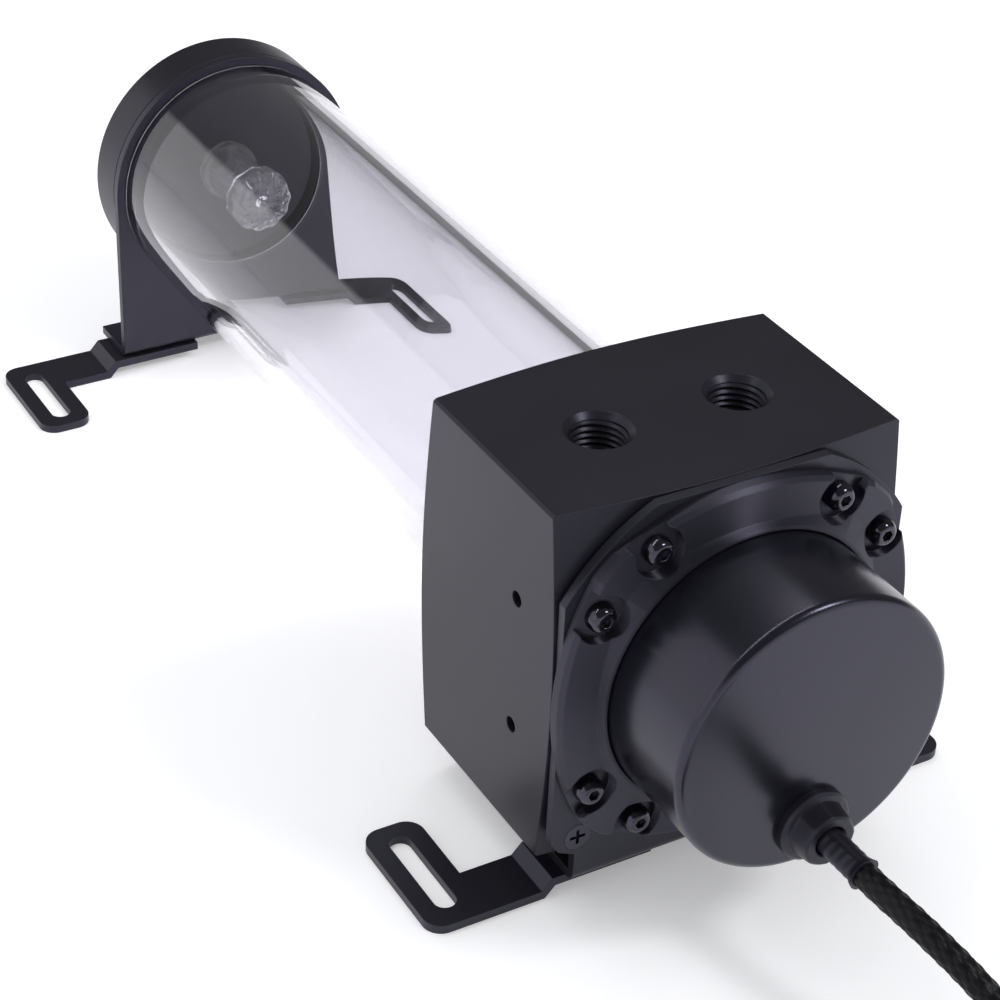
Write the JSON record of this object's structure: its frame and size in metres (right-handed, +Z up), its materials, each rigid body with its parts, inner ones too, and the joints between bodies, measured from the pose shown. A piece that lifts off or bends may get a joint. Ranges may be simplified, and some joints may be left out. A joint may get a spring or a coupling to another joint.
{
  "type": "coolant pump reservoir",
  "caption": "Pump block with a round canned pump, a long clear reservoir tube, an end cap and sheet metal brackets with slotted feet.",
  "frame": {"origin": "centre of the bounding box without its cable, at the underside of the four feet", "axes": "+Y from the pump can along the tube to the end cap, +Z up through the two ports on the pump block, +X to the inlet port's side"},
  "size_m": [0.1224, 0.4044, 0.0888],
  "materials": {
    "black_acetal": "satin machined black acetal",
    "black_sheet": "satin black powder coat",
    "black_aluminium": "fine matt black anodised",
    "black_steel": "black oxide, slightly glossy",
    "clear_acrylic": "polished clear acrylic",
    "black_rubber": "matt",
    "black_nylon": "moulded, satin",
    "braided_sleeve": "woven polyester",
    "white_plastic": "moulded, satin",
    "ceramic": "polished",
    "magnet": "smooth dark grey",
    "core_steel": "stacked sheets",
    "copper": "enamelled copper wire",
    "board": "green solder mask",
    "stainless": "bright"
  },
  "bodies": {
    "reservoir": {"pump_block": "black_acetal", "front_bracket": "black_sheet", "rear_bracket": "black_sheet", "front_left_foot": "black_sheet", "front_right_foot": "black_sheet", "rear_left_foot": "black_sheet", "rear_right_foot": "black_sheet", "foot_screws": "black_steel", "bracket_screws": "black_steel", "clamp_ring": "black_aluminium", "clamp_ring_screws": "black_steel", "pump_housing": "black_aluminium", "cable_gland": "black_nylon", "cable_clamp": "black_nylon", "control_board": "board", "rotor_cup": "stainless", "stator_core": "core_steel", "stator_coils": "copper", "bearing_ball": "ceramic", "bearing_post": "stainless", "pump_seal": "black_rubber", "front_tube_seal": "black_rubber", "rear_tube_seal": "black_rubber", "reservoir_tube": "clear_acrylic", "end_cap": "black_acetal", "diffuser_stub": "clear_acrylic", "diffuser_head": "clear_acrylic", "heat_shrink_sleeve": "black_nylon", "pump_cable": "braided_sleeve", "cable_coil": "braided_sleeve", "cable_tail": "braided_sleeve", "power_connector": "black_nylon"},
    "rotor": {"impeller": "white_plastic", "rotor_magnet": "magnet", "rotor_bearing": "ceramic"},
    "plug": {"rear_port_plug": "black_steel", "plug_seal": "black_rubber"}
  },
  "joints": [
    {"name": "impeller_spin", "type": "hinge", "parent": "reservoir", "child": "rotor", "pos_m": [0, -0.1007, 0.0493], "axis": [0, 1, 0], "continuous": true},
    {"name": "rear_port_plug_out", "type": "slide", "parent": "reservoir", "child": "plug", "axis": [0, 1, 0], "range_m": [0, 0.014]}
  ]
}
